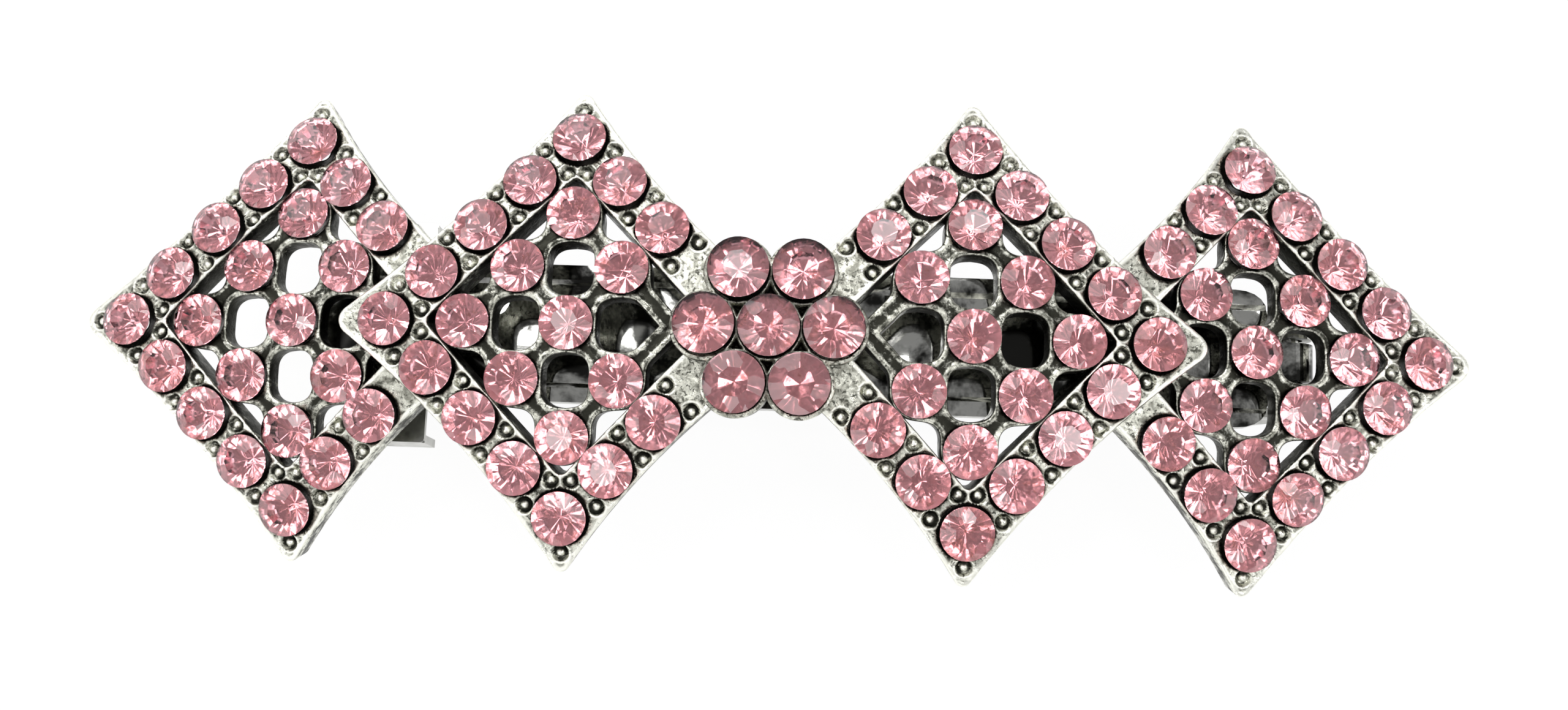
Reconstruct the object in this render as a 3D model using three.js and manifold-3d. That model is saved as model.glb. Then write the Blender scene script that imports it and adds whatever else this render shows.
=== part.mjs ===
// Rhinestone hair clip. A curved openwork casting of four overlapping diamonds and a raised
// flower is set with pointed-back stones, and carries a spring-steel barrette clasp behind it.
// Millimetres, +Z up, decorated face up, X along the clip. The origin is the middle of its footprint.
import * as THREE from 'three';
import { mergeVertices } from 'three/addons/utils/BufferGeometryUtils.js';
import Module from 'manifold-3d';

const wasm = await Module();
wasm.setup();

// Stones
const smallStone = 3.2;         // diameter at the girdle
const flowerStone = 3.6;
const girdleLift = 0.45;        // girdle above the metal round it
const girdleHeight = 0.12;
const crownHeight = 0.5;
const pavilionDepth = 1.5;
const tableShare = 0.5;         // table across the diameter
const stoneSides = 8;
const cupSides = 10;
const roundSides = 12;
const mergeDistance = 0.0001;

// Casting, measured on the flat before it is bent
const stoneGap = 0.743;         // between neighbours along a diamond's side
const sideAngle = 46.28;         // a diamond's side to the clip's length, in degrees
const tipReach = 3.7;           // corner stone to the diamond's tip, before it is rounded
const sideHollow = 0.7;         // how far a side curves in
const tipRound = 1.2;
const bandMargin = 0.1;         // band wider than its stones by this
const cupWall = 0.1;            // lattice cup wider than its stone, on the radius
const cupOverlap = 0.05;
const webWidth = 0.9;
const flowerWall = 0.15;
const petalGap = 0.15;
const plateThickness = 2;
const outerDrop = 0.3;          // outer diamonds below the inner ones
const latticeDrop = 0.45;       // lattice below its own frame
const flowerRise = 0.85;
const seatMargin = 0.28;        // seat hole wider than the stone's point at the plate, on the radius
const lengthBend = 150;         // radius along the clip
const widthBend = 45;           // radius across the clip
const stonesPerSide = 4;        // stone steps along one side of a diamond
const petals = 6;

// Clasp
const clearance = 0.3;
const baseGap = 0.28;           // casting to the base plate's ribs, where they come closest
const baseBend = 400;
const baseWidth = 8.4;
const baseThickness = 0.6;
const baseEndRound = 2.1;
const baseLeftReach = 5.2;      // left peg to the base plate's end
const hingeReach = 9;           // right peg to the hinge pin
const ribWidth = 0.9;
const ribHeight = 0.3;
const pegRadius = 0.6;
const pegHeadRadius = 1.1;
const pegHeadHeight = 0.5;
const bossRadius = 1.7;
const pinRadius = 0.55;
const pinHeadRadius = 0.8;
const pinHeadLength = 0.3;
const pinPlay = 0.25;           // running gap round the hinge pin
const curlWidth = 2.3;
const curlLead = 0.1;           // radians that the curl starts before the top of its turn
const hairGap = 4.6;            // leaf spring to clasp arm, closed
const springWidth = 4;
const springThickness = 0.35;
const springLug = 0.55;
const springTipReach = 5.8;     // left peg to the free end of the leaf spring
const springBow = 0.4;
const springFlexDegrees = 1.5;
const armWidth = 6.6;
const armThickness = 0.8;
const armEndReach = 3.8;        // left peg to the clasp arm's end
const armEndRound = 2;
const armJog = 1.1;             // loop end stands above the arm's flat by this
const jogRun = 1.5;             // run for each unit of that rise
const earThickness = 0.6;
const earRadius = 1.3;
const catchLength = 3.5;        // along the clip
const catchThickness = 0.5;
const tabReach = 6.8;           // middle of the clip to the squeeze tabs' outer face
const tabDrop = 3.4;
const hookReach = 0.35;         // barb on the prong, just short of the arm's loop

const silver = new THREE.MeshStandardMaterial({ color: 0xb9b8a8, roughness: 0.42, metalness: 1 });
const nickel = new THREE.MeshStandardMaterial({ color: 0xd6d6d2, roughness: 0.16, metalness: 1 });
const pink = new THREE.MeshStandardMaterial({ color: 0xe08ba0, roughness: 0.05, metalness: 0.1 });

// Sizes that follow
const sideLength = stonesPerSide * (smallStone + stoneGap);
const ringHalfLength = sideLength * Math.cos(THREE.MathUtils.degToRad(sideAngle));
const ringHalfWidth = sideLength * Math.sin(THREE.MathUtils.degToRad(sideAngle));
const bandWidth = smallStone + bandMargin;
const cupRadius = smallStone / 2 + cupWall;
const flowerCupRadius = flowerStone / 2 + flowerWall;
const petalPitch = flowerStone + petalGap;
const insideHalfLength = ringHalfLength - bandWidth / Math.SQRT2;
const insideHalfWidth = ringHalfWidth - bandWidth / Math.SQRT2;
const latticeHalfLength = insideHalfLength - Math.SQRT2 * (cupRadius - cupOverlap);
const latticeHalfWidth = insideHalfWidth - Math.SQRT2 * (cupRadius - cupOverlap);
const innerCentre = petalPitch + flowerCupRadius + latticeHalfLength;
const outerCentre = innerCentre + ringHalfLength + latticeHalfLength;

// The four diamonds: place along the clip, way that the outward corner points, height of the frame.
const diamonds = [
  { name: 'outer_left', centre: -outerCentre, outward: -1, height: -outerDrop },
  { name: 'inner_left', centre: -innerCentre, outward: -1, height: 0 },
  { name: 'inner_right', centre: innerCentre, outward: 1, height: 0 },
  { name: 'outer_right', centre: outerCentre, outward: 1, height: -outerDrop },
];

// A point on the flat carried round a cylinder of the given radius, along or across the clip.
function bendAlong(point, radius) {
  const reach = radius + point.z;
  const turn = point.x / radius;
  return new THREE.Vector3(reach * Math.sin(turn), point.y, reach * Math.cos(turn) - radius);
}

function bendAcross(point, radius) {
  const reach = radius + point.z;
  const turn = point.y / radius;
  return new THREE.Vector3(point.x, reach * Math.sin(turn), reach * Math.cos(turn) - radius);
}

// The casting is domed both ways; the base plate is bent along its length only.
const onCasting = (point) => bendAlong(bendAcross(point, widthBend), lengthBend);
const onBase = (point) => bendAlong(point, baseBend);

function bend(geometry, carry) {
  const places = geometry.attributes.position;
  const point = new THREE.Vector3();
  for (let i = 0; i < places.count; i++) {
    const bent = carry(point.fromBufferAttribute(places, i));
    places.setXYZ(i, bent.x, bent.y, bent.z);
  }
  return geometry;
}

function toSolid(geometry) {
  const bare = geometry.index ? geometry.toNonIndexed() : geometry.clone();
  bare.deleteAttribute('normal');
  bare.deleteAttribute('uv');
  const merged = mergeVertices(bare, mergeDistance);
  return new wasm.Manifold(new wasm.Mesh({
    numProp: 3,
    vertProperties: new Float32Array(merged.attributes.position.array),
    triVerts: new Uint32Array(merged.index.array),
  }));
}

function toGeometry(solid) {
  const mesh = solid.getMesh();
  const geometry = new THREE.BufferGeometry();
  geometry.setAttribute('position', new THREE.BufferAttribute(mesh.vertProperties, 3));
  geometry.setIndex(new THREE.BufferAttribute(mesh.triVerts, 1));
  geometry.computeVertexNormals();
  return geometry;
}

const joinAll = (solids) => solids.reduce((whole, next) => whole.add(next));
const cutAll = (solid, cutters) => cutters.reduce((left, next) => left.subtract(next), solid);

// An upright prism of a plan outline between two heights.
function prism(shape, low, high, curveSegments = 6) {
  const depth = high - low;
  const geometry = new THREE.ExtrudeGeometry(shape, { depth, bevelEnabled: false, curveSegments });
  return toSolid(geometry.translate(0, 0, low));
}

// A side outline drawn in x and z, given its thickness across the clip.
function slab(shape, nearSide, farSide, curveSegments = 6) {
  const depth = farSide - nearSide;
  const geometry = new THREE.ExtrudeGeometry(shape, { depth, bevelEnabled: false, curveSegments });
  return toSolid(geometry.rotateX(Math.PI / 2).translate(0, farSide, 0));
}

function block(low, high) {
  const size = new THREE.Vector3().subVectors(high, low);
  const middle = new THREE.Vector3().addVectors(low, high).multiplyScalar(0.5);
  const geometry = new THREE.BoxGeometry(size.x, size.y, size.z);
  return toSolid(geometry.translate(middle.x, middle.y, middle.z));
}

function post(x, y, low, high, radius, sides) {
  const geometry = new THREE.CylinderGeometry(radius, radius, high - low, sides);
  return toSolid(geometry.rotateX(Math.PI / 2).translate(x, y, (low + high) / 2));
}

function roundedPlan(left, right, near, far, radius) {
  const shape = new THREE.Shape();
  shape.moveTo(left + radius, near);
  shape.lineTo(right - radius, near);
  shape.quadraticCurveTo(right, near, right, near + radius);
  shape.lineTo(right, far - radius);
  shape.quadraticCurveTo(right, far, right - radius, far);
  shape.lineTo(left + radius, far);
  shape.quadraticCurveTo(left, far, left, far - radius);
  shape.lineTo(left, near + radius);
  shape.quadraticCurveTo(left, near, left + radius, near);
  return shape;
}

// Outline of one diamond: hollow sides between rounded tips.
function diamondOutline(centre) {
  const length = ringHalfLength + tipReach;
  const width = ringHalfWidth + tipReach;
  const tips = [[length, 0], [0, width], [-length, 0], [0, -width]]
    .map(([x, y]) => new THREE.Vector2(centre + x, y));
  const shape = new THREE.Shape();
  tips.forEach((tip, i) => {
    const next = tips[(i + 1) % tips.length];
    const along = next.clone().sub(tip).normalize();
    const hollow = new THREE.Vector2(-along.y, along.x).multiplyScalar(2 * sideHollow);
    const leave = tip.clone().addScaledVector(along, tipRound);
    const arrive = next.clone().addScaledVector(along, -tipRound);
    const pull = tip.clone().add(next).multiplyScalar(0.5).add(hollow);
    if (i === 0) shape.moveTo(leave.x, leave.y);
    shape.quadraticCurveTo(pull.x, pull.y, arrive.x, arrive.y);
    const after = tips[(i + 2) % tips.length].clone().sub(next).normalize();
    const turned = next.clone().addScaledVector(after, tipRound);
    shape.quadraticCurveTo(next.x, next.y, turned.x, turned.y);
  });
  return shape;
}

function insideOutline(centre) {
  const shape = new THREE.Shape();
  shape.moveTo(centre + insideHalfLength, 0);
  shape.lineTo(centre, insideHalfWidth);
  shape.lineTo(centre - insideHalfLength, 0);
  shape.lineTo(centre, -insideHalfWidth);
  shape.closePath();
  return shape;
}

// The frame stones run from the outward corner to both side corners, then half a side inwards.
function frameSeats(diamond) {
  const seats = [];
  const steps = stonesPerSide + stonesPerSide / 2;
  for (let step = -steps; step <= steps; step++) {
    const run = Math.abs(step) / stonesPerSide;
    const across = run <= 1 ? run : 2 - run;
    seats.push({
      along: diamond.centre + diamond.outward * ringHalfLength * (1 - run),
      across: Math.sign(step) * ringHalfWidth * across,
      height: diamond.height,
      corner: step % stonesPerSide === 0,
    });
  }
  return seats;
}

// Three by three cups on the diagonals. The one towards the middle of the clip is left out.
function latticeSeats(diamond) {
  const seats = [];
  for (const i of [-1, 0, 1]) {
    for (const j of [-1, 0, 1]) {
      if (i === -1 && j === -1) continue;
      seats.push({
        along: diamond.centre + diamond.outward * latticeHalfLength * (i + j) / 2,
        across: latticeHalfWidth * (i - j) / 2,
        height: diamond.height - latticeDrop,
      });
    }
  }
  return seats;
}

function flowerSeats() {
  const seats = [{ along: 0, across: 0, height: flowerRise }];
  for (let petal = 0; petal < petals; petal++) {
    const angle = petal * 2 * Math.PI / petals;
    seats.push({
      along: petalPitch * Math.cos(angle),
      across: petalPitch * Math.sin(angle),
      height: flowerRise,
    });
  }
  return seats;
}

// Straight bars from cup to cup along both diagonals of the lattice.
function latticeWebs(diamond) {
  const webs = [];
  for (const slant of [-1, 1]) {
    for (const row of [-1, 0, 1]) {
      const x = row * latticeHalfLength / 2;
      const y = -slant * row * latticeHalfWidth / 2;
      const reachX = latticeHalfLength / 2;
      const reachY = slant * latticeHalfWidth / 2;
      const bar = new THREE.BoxGeometry(2 * Math.hypot(reachX, reachY), webWidth, 1);
      const low = -plateThickness;
      const high = diamond.height - latticeDrop;
      bar.scale(1, 1, high - low).rotateZ(Math.atan2(reachY, reachX));
      bar.translate(diamond.centre + x, y, (low + high) / 2);
      webs.push(toSolid(bar));
    }
  }
  return webs;
}

function diamondSolid(diamond) {
  const frame = prism(diamondOutline(diamond.centre), -plateThickness, diamond.height)
    .subtract(prism(insideOutline(diamond.centre), -plateThickness - 1, diamond.height + 1));
  const cups = latticeSeats(diamond).map((seat) =>
    post(seat.along, seat.across, -plateThickness, seat.height, cupRadius, cupSides));
  return joinAll([frame, ...latticeWebs(diamond), ...cups]);
}

function seatHole(seat, stone) {
  const radius = stone / 2 * (1 - girdleLift / pavilionDepth) + seatMargin;
  return post(seat.along, seat.across, -plateThickness - 1, seat.height + 1, radius, stoneSides);
}

const smallSeats = diamonds.flatMap((diamond) => [...frameSeats(diamond), ...latticeSeats(diamond)]);
const pegs = [-1, 1].map((side) => onCasting(new THREE.Vector3(side * (innerCentre + ringHalfLength), 0, 0)));
const hingeX = pegs[1].x + hingeReach;
const baseDrop = (x) => baseBend - Math.sqrt(baseBend * baseBend - x * x);
const lowestCasting = onCasting(new THREE.Vector3(hingeX, baseWidth / 2, -plateThickness)).z;
const baseDepth = baseGap + ribHeight - lowestCasting - baseDrop(hingeX);
const baseHeight = (x) => -baseDepth - baseDrop(x);

// Heights of the clasp, from the base plate down to the flat of the arm
const hingeZ = baseHeight(hingeX) - baseThickness - pinPlay - pinRadius;
const catchX = pegs[0].x;
const catchTop = baseHeight(catchX) - baseThickness - clearance;
const springTipX = catchX + springTipReach;
const springFlex = THREE.MathUtils.degToRad(springFlexDegrees);
const springTipZ = baseHeight(springTipX) - baseThickness - clearance
  - (hingeX - springTipX) * Math.sin(springFlex);
const springRootX = hingeX - pinRadius - pinPlay - baseThickness - clearance;
const springRootZ = hingeZ + springThickness / 2;
const springLow = Math.min(springTipZ, springRootZ) - springBow - springThickness;
const armTop = springLow - hairGap;
const armBottom = armTop - armThickness;
const loopTop = armTop + armJog;
const loopBottom = armBottom + armJog;
const hookTop = loopBottom - clearance;
const prongInner = pegHeadRadius + clearance;
const prongOuter = prongInner + catchThickness;
const slotHalf = prongOuter + hookReach + clearance;

// Openwork casting with its stone seats, and two pegs behind it that the base plate hangs on.
function casting() {
  const [outerLeft, innerLeft, innerRight, outerRight] = diamonds.map(diamondSolid);
  const innerOpenings = [diamonds[1], diamonds[2]].map((diamond) =>
    prism(insideOutline(diamond.centre), -plateThickness - 1, 1));
  const outers = cutAll(outerLeft.add(outerRight), innerOpenings);
  const flower = flowerSeats().map((seat) =>
    post(seat.along, seat.across, -plateThickness, seat.height, flowerCupRadius, roundSides));
  const heart = post(0, 0, -plateThickness, -latticeDrop, petalPitch, roundSides);
  const plate = joinAll([outers, innerLeft, innerRight, ...flower, heart]);
  const holes = [
    ...smallSeats.map((seat) => seatHole(seat, smallStone)),
    ...flowerSeats().map((seat) => seatHole(seat, flowerStone)),
  ];
  const bent = toSolid(bend(toGeometry(cutAll(plate, holes)), onCasting));
  return toGeometry(joinAll([bent, ...pegs.map(castPeg)]));
}

// A boss that closes the seat from below, a thinner peg through the base plate, and its peened head.
function castPeg(place) {
  const bossTop = place.z + girdleLift - pavilionDepth - clearance;
  const bossBottom = baseHeight(place.x) + clearance;
  const held = place.x < 0 ? clearance + catchThickness : 0;
  const headTop = baseHeight(place.x) - baseThickness - held - clearance;
  return joinAll([
    post(place.x, 0, bossBottom, bossTop, bossRadius, roundSides),
    post(place.x, 0, headTop - pegHeadHeight / 2, bossBottom + pegHeadHeight / 2, pegRadius, roundSides),
    post(place.x, 0, headTop - pegHeadHeight, headTop, pegHeadRadius, roundSides),
  ]);
}

// Ribbed strip bent along its length, with a tongue that curls round the hinge pin.
function basePlate() {
  const half = baseWidth / 2;
  const left = catchX - baseLeftReach;
  const right = hingeX - earRadius - clearance;
  const section = new THREE.Shape();
  section.moveTo(-half, -baseThickness);
  section.lineTo(half, -baseThickness);
  section.lineTo(half, ribHeight);
  section.lineTo(half - ribWidth, ribHeight);
  section.lineTo(half - ribWidth - ribHeight, 0);
  section.lineTo(ribWidth + ribHeight - half, 0);
  section.lineTo(ribWidth - half, ribHeight);
  section.lineTo(-half, ribHeight);
  section.closePath();
  const strip = new THREE.ExtrudeGeometry(section, { depth: right - left, steps: 16, bevelEnabled: false });
  strip.rotateY(Math.PI / 2).rotateX(Math.PI / 2).translate(left, 0, 0);
  const bent = toSolid(bend(strip, onBase).translate(0, 0, -baseDepth));
  const plan = prism(roundedPlan(left, right, -half, half, baseEndRound), baseHeight(right) - 2, 0);
  const holes = pegs.map((peg) =>
    post(peg.x, 0, baseHeight(peg.x) - baseWidth, baseHeight(peg.x) + baseWidth,
      pegRadius + clearance, roundSides));
  const tongueLow = hingeZ + pinRadius + pinPlay;
  const tongue = block(
    new THREE.Vector3(right - baseThickness, -curlWidth / 2, tongueLow),
    new THREE.Vector3(hingeX, curlWidth / 2, tongueLow + baseThickness));
  return toGeometry(joinAll([cutAll(bent.intersect(plan), holes), tongue, hingeCurl()]));
}

function hingeCurl() {
  const inner = pinRadius + pinPlay;
  const start = Math.PI / 2 + curlLead;
  const stop = -Math.PI * 0.75;
  const shape = new THREE.Shape();
  shape.absarc(hingeX, hingeZ, inner + baseThickness, start, stop, true);
  shape.absarc(hingeX, hingeZ, inner, stop, start, false);
  shape.closePath();
  return slab(shape, -curlWidth / 2, curlWidth / 2, 12);
}

// Round pin through the curl, the leaf spring's lugs and the arm's ears, headed at both ends.
function hingePin() {
  const half = armWidth / 2 + clearance;
  const profile = [
    [0, -half - pinHeadLength], [pinHeadRadius, -half - pinHeadLength], [pinHeadRadius, -half],
    [pinRadius, -half], [pinRadius, half], [pinHeadRadius, half],
    [pinHeadRadius, half + pinHeadLength], [0, half + pinHeadLength],
  ].map(([radius, y]) => new THREE.Vector2(radius, y));
  return new THREE.LatheGeometry(profile, roundSides).translate(hingeX, 0, hingeZ);
}

// Ring of a lug or an ear round the hinge pin, open for the pin.
function pinHole(halfWidth) {
  const radius = pinRadius + pinPlay;
  const hole = new THREE.CylinderGeometry(radius, radius, 2 * halfWidth, roundSides);
  return toSolid(hole.translate(hingeX, 0, hingeZ));
}

// Bowed strip under the base plate that presses on the hair, forked round the curl at its root.
function leafSpring() {
  const half = springWidth / 2;
  const middleX = (springTipX + springRootX) / 2;
  const middleZ = Math.min(springTipZ, springRootZ) - 2 * springBow;
  const strip = new THREE.Shape();
  strip.moveTo(springTipX, springTipZ);
  strip.quadraticCurveTo(middleX, middleZ, springRootX, springRootZ);
  strip.lineTo(springRootX, springRootZ - springThickness);
  strip.quadraticCurveTo(middleX, middleZ - springThickness, springTipX, springTipZ - springThickness);
  strip.closePath();
  const lug = new THREE.Shape();
  const lugRadius = pinRadius + pinPlay + springLug;
  lug.moveTo(springRootX - half, springRootZ - springThickness);
  lug.absarc(hingeX, hingeZ, lugRadius, -Math.PI / 2, Math.PI * 0.75, false);
  lug.lineTo(springRootX - half, springRootZ);
  lug.closePath();
  const lugs = [-1, 1].map((side) => {
    const faces = [side * half, side * (half - springLug)].sort((a, b) => a - b);
    return slab(lug, faces[0], faces[1], 8);
  });
  return toGeometry(joinAll([slab(strip, -half, half, 12), ...lugs]).subtract(pinHole(half + 1)));
}

// Flat arm that closes over the hair: two ears round the hinge pin, and a raised loop at its free end.
function claspArm() {
  const half = armWidth / 2;
  const end = catchX - armEndReach;
  const jogStart = springTipX - armJog;
  const jogEnd = jogStart - jogRun * armJog;
  const root = hingeX - 2 * earRadius;
  const side = new THREE.Shape();
  side.moveTo(end, loopBottom);
  side.lineTo(jogEnd, loopBottom);
  side.lineTo(jogStart, armBottom);
  side.lineTo(root, armBottom);
  side.lineTo(root, armTop);
  side.lineTo(jogStart - armThickness / 2, armTop);
  side.lineTo(jogEnd - armThickness / 2, loopTop);
  side.lineTo(end, loopTop);
  side.closePath();
  const plan = prism(roundedPlan(end, root + half, -half, half, armEndRound), armBottom - 1, loopTop + 1);
  const slot = prism(
    roundedPlan(catchX - catchLength / 2 - clearance, catchX + catchLength / 2 + clearance,
      -slotHalf, slotHalf, clearance), armBottom - 1, loopTop + 1);
  const ear = new THREE.Shape();
  ear.moveTo(root - 2 * earRadius, armBottom);
  ear.lineTo(root + earRadius / 2, armBottom);
  ear.absarc(hingeX, hingeZ, earRadius, 0, Math.PI, false);
  ear.lineTo(root - 2 * earRadius, armTop);
  ear.closePath();
  const ears = [-1, 1].map((way) => {
    const faces = [way * half, way * (half - earThickness)].sort((a, b) => a - b);
    return slab(ear, faces[0], faces[1], 8);
  });
  const strip = slab(side, -half, half).intersect(plan).subtract(slot);
  return toGeometry(joinAll([strip, ...ears]).subtract(pinHole(half + 1)));
}

// Plate held under the base plate by the left peg; the two squeeze levers spring from its sides.
function catchPlate() {
  const half = prongInner - clearance;
  const plan = roundedPlan(catchX - catchLength / 2, catchX + catchLength / 2, -half, half, clearance);
  const hole = post(catchX, 0, catchTop - 1, catchTop + 1, pegRadius + clearance, roundSides);
  return toGeometry(prism(plan, catchTop - catchThickness, catchTop).subtract(hole));
}

// One squeeze lever: a prong that hooks under the arm's loop, and a finger tab out to the side.
function catchLever(side) {
  const across = (near, far) => [side * near, side * far].sort((a, b) => a - b);
  const bar = (near, far, low, high) => {
    const [y0, y1] = across(near, far);
    return block(new THREE.Vector3(catchX - catchLength / 2, y0, low),
      new THREE.Vector3(catchX + catchLength / 2, y1, high));
  };
  const [tabNear, tabFar] = across(prongInner, tabReach);
  const tabPlan = roundedPlan(catchX - catchLength / 2, catchX + catchLength / 2, tabNear, tabFar, clearance);
  return toGeometry(joinAll([
    prism(tabPlan, catchTop - catchThickness, catchTop),
    bar(prongInner, prongOuter, hookTop - catchThickness, catchTop - catchThickness / 2),
    bar(prongInner, prongOuter + hookReach, hookTop - catchThickness, hookTop),
    bar(tabReach - catchThickness, tabReach, catchTop - tabDrop, catchTop - catchThickness / 2),
  ]));
}

// Faceted stone: point below, short girdle, crown and flat table, standing on its seat's normal.
function stone(diameter) {
  const radius = diameter / 2;
  const profile = [
    [0, girdleLift - pavilionDepth], [radius, girdleLift], [radius, girdleLift + girdleHeight],
    [radius * tableShare, girdleLift + girdleHeight + crownHeight],
    [0, girdleLift + girdleHeight + crownHeight],
  ].map(([r, z]) => new THREE.Vector2(r, z));
  return new THREE.LatheGeometry(profile, stoneSides).rotateX(Math.PI / 2);
}

const clip = new THREE.Group();

function addPiece(name, geometry, material) {
  const mesh = new THREE.Mesh(geometry, material);
  mesh.name = name;
  clip.add(mesh);
  return mesh;
}

function addStones(name, seats, diameter) {
  const geometry = stone(diameter);
  seats.forEach((seat, i) => {
    const mesh = addPiece(`${name}_${i + 1}`, geometry, pink);
    const foot = onCasting(new THREE.Vector3(seat.along, seat.across, seat.height));
    const above = onCasting(new THREE.Vector3(seat.along, seat.across, seat.height + 1));
    mesh.position.copy(foot);
    mesh.quaternion.setFromUnitVectors(new THREE.Vector3(0, 0, 1), above.sub(foot).normalize());
  });
}

addPiece('casting', casting(), silver);
addStones('stone_flower', flowerSeats(), flowerStone);
for (const diamond of diamonds) {
  addStones(`stone_${diamond.name}_lattice`, latticeSeats(diamond), smallStone);
  addStones(`stone_${diamond.name}_corner`, frameSeats(diamond).filter((seat) => seat.corner), smallStone);
}
addPiece('base_plate', basePlate(), nickel);
addPiece('hinge_pin', hingePin(), nickel);
addPiece('leaf_spring', leafSpring(), nickel);
addPiece('clasp_arm', claspArm(), nickel);
addPiece('catch_plate', catchPlate(), nickel);
addPiece('catch_lever_front', catchLever(-1), nickel);
addPiece('catch_lever_back', catchLever(1), nickel);
clip.position.z = -armBottom;
clip.updateMatrixWorld(true);

export default clip;
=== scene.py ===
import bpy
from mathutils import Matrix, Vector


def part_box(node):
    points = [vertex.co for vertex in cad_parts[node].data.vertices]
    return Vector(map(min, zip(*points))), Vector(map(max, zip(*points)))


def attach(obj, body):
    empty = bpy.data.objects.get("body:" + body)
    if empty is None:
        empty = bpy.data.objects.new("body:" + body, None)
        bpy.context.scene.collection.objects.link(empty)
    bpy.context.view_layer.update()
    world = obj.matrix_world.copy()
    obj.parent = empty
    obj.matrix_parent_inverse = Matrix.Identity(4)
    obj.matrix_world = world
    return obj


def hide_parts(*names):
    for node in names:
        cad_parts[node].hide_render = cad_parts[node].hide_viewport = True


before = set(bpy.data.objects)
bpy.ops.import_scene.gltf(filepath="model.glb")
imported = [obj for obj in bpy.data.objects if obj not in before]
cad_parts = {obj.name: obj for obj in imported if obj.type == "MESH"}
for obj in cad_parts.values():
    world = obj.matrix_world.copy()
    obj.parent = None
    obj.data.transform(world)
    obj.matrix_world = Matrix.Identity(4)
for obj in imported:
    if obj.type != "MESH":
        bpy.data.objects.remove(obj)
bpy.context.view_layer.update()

import math
import bpy
import numpy as np
from mathutils import Matrix, Vector

# Rhinestone hair clip: a cast openwork front set with pointed-back stones, on a barrette clasp.
# Lengths are millimetres on the flat front before it is bent; makePiece turns them into metres.
mm = 0.001
random = np.random.default_rng(7)


def smooth(t):
    # 0 below 0, 1 above 1, with a soft S between: 3t^2 - 2t^3
    t = np.clip(t, 0.0, 1.0)
    return t * t * (3.0 - 2.0 * t)


def softMin(a, b, width):
    # the lower of two distances, with a fillet of the given width where they meet
    h = np.clip(0.5 + 0.5 * (b - a) / width, 0.0, 1.0)
    return b * (1.0 - h) + a * h - width * h * (1.0 - h)


def roundMax(a, b, radius):
    # the higher of two distances, with the outer corner rounded to the given radius
    outside = np.hypot(np.maximum(a + radius, 0.0), np.maximum(b + radius, 0.0))
    return np.minimum(np.maximum(a, b) + radius, 0.0) + outside - radius


# Layout of the front

layout = {
    "smallStone": 3.2,
    "flowerStone": 3.6,
    "stoneGap": 0.743,       # between neighbours along a diamond's side
    "sideAngle": 46.28,      # a diamond's side to the clip's length
    "stonesPerSide": 4,
    "tipReach": 3.7,         # a tip's corner beyond the middle of its stone
    "sideHollow": 1.0,       # how far a side bows in
    "bandMargin": 0.1,       # band wider than its stones
    "cupWall": 0.1,
    "cupOverlap": 0.05,      # lattice cups into the band
    "flowerWall": 0.15,
    "petalGap": 0.15,
    "outerDrop": 0.3,        # outer diamonds below the inner ones
    "latticeDrop": 0.45,     # lattice below its band
    "flowerRise": 0.85,      # flower stones above the crown
    "lengthBend": 150.0,     # radius of the bend along the clip
    "widthBend": 45.0,       # radius of the bend across it
}
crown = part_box("casting")[1][2] / mm - layout["flowerRise"]
side = layout["stonesPerSide"] * (layout["smallStone"] + layout["stoneGap"])
sideTurn = math.radians(layout["sideAngle"])
ringHalf = np.array([math.cos(sideTurn), math.sin(sideTurn)]) * side
tipHalf = ringHalf + layout["tipReach"]
insideHalf = ringHalf - (layout["smallStone"] + layout["bandMargin"]) / math.sqrt(2)
cupRadius = layout["smallStone"] / 2 + layout["cupWall"]
latticeHalf = insideHalf - math.sqrt(2) * (cupRadius - layout["cupOverlap"])
flowerCup = layout["flowerStone"] / 2 + layout["flowerWall"]
petalPitch = layout["flowerStone"] + layout["petalGap"]
innerCentre = petalPitch + flowerCup + latticeHalf[0]
outerCentre = innerCentre + ringHalf[0] + latticeHalf[0]
outerHeight = -layout["outerDrop"]
diamonds = [
    {"name": "outerLeft", "centre": -outerCentre, "outward": -1, "height": outerHeight, "inner": False},
    {"name": "innerLeft", "centre": -innerCentre, "outward": -1, "height": 0.0, "inner": True},
    {"name": "innerRight", "centre": innerCentre, "outward": 1, "height": 0.0, "inner": True},
    {"name": "outerRight", "centre": outerCentre, "outward": 1, "height": outerHeight, "inner": False},
]


def bendFront(flat):
    # wraps flat places round a cylinder across the clip, then round a wider one along it, and lifts them
    reach = layout["widthBend"] + flat[:, 2]
    turn = flat[:, 1] / layout["widthBend"]
    y = reach * np.sin(turn)
    z = reach * np.cos(turn) - layout["widthBend"]
    reach = layout["lengthBend"] + z
    turn = flat[:, 0] / layout["lengthBend"]
    return np.stack([reach * np.sin(turn), y, reach * np.cos(turn) - layout["lengthBend"] + crown], axis=1)


def frameSeats(diamond):
    # stone places along the ring, as steps from the outward corner: x falls evenly, y rises then falls
    steps = layout["stonesPerSide"] + layout["stonesPerSide"] // 2
    run = np.arange(-steps, steps + 1) / layout["stonesPerSide"]
    return ringPlaces(diamond, run)


def ringPlaces(diamond, run):
    across = np.where(np.abs(run) <= 1, np.abs(run), 2 - np.abs(run)) * np.sign(run)
    x = diamond["centre"] + diamond["outward"] * ringHalf[0] * (1 - np.abs(run))
    return np.stack([x, ringHalf[1] * across, np.full(len(run), diamond["height"])], axis=1)


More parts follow.
